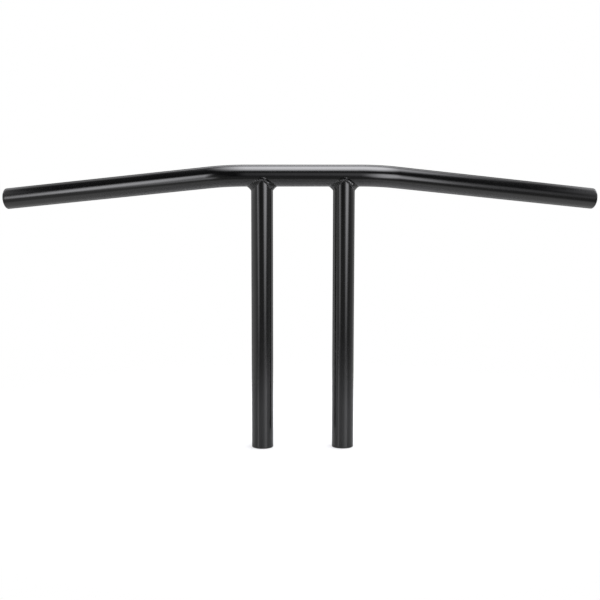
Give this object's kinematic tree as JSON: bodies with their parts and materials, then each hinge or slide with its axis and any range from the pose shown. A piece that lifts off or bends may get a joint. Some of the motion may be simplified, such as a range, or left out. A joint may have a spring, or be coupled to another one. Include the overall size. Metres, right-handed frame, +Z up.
{
  "type": "t-bar handlebar",
  "caption": "Motorbike T-bar handlebar: a bent cross tube with swept-back grip ends, welded on coped riser tubes with threaded feet that bolt to the top clamp.",
  "frame": {"origin": "midway between the two bolt holes, on the plane of the riser feet", "axes": "+X along the bar towards the rider's left hand, +Y back towards the rider, +Z up the risers"},
  "size_m": [0.727, 0.1181, 0.3352],
  "materials": {
    "black_powder_coat": "gloss black powder coat on steel",
    "machined_steel": "turned and tapped, masked from the coat",
    "dressed_weld": "weld dressed flush and left bare"
  },
  "bodies": {
    "root": {"cross_bar": "black_powder_coat", "riser_left": "black_powder_coat", "riser_right": "black_powder_coat", "saddle_weld_left": "black_powder_coat", "saddle_weld_right": "black_powder_coat", "threaded_bung_left": "machined_steel", "threaded_bung_right": "machined_steel", "bung_weld_left": "dressed_weld", "bung_weld_right": "dressed_weld"}
  },
  "joints": []
}
